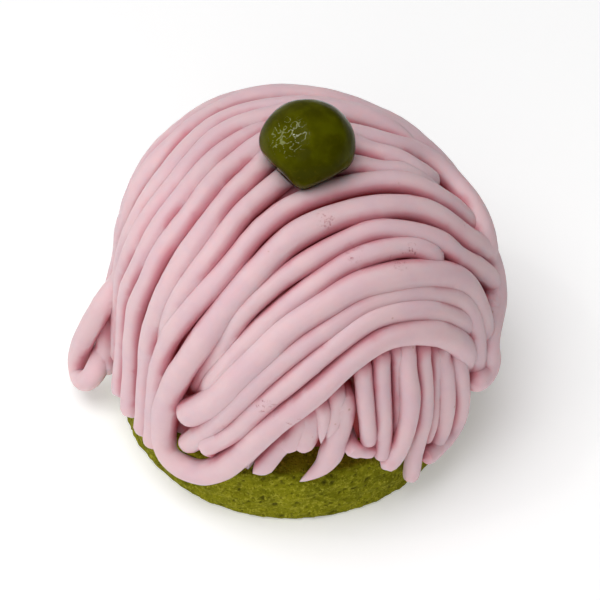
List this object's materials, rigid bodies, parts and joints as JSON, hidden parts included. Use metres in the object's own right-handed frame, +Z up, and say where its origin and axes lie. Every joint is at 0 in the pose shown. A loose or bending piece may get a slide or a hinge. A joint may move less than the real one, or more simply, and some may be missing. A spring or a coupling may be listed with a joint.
{
  "type": "mont blanc cake",
  "caption": "Small domed cake: a round green sponge disc under a mound of looping, crossing strands of pink piped paste, with a glossy candied bean on top.",
  "frame": {"origin": "middle of the sponge disc's flat underside, where the cake rests", "axes": "+Z up, +X to the right in the picture, -Y towards the picture's viewer"},
  "size_m": [0.073, 0.064, 0.0661],
  "materials": {
    "sponge": "soft, porous green sponge",
    "paste": "smooth, slightly moist pink paste",
    "bean": "wrinkled, syrup-glazed dark green bean"
  },
  "bodies": {
    "root": {"sponge_base": "sponge", "piped_paste": "paste", "candied_bean": "bean"}
  },
  "joints": []
}
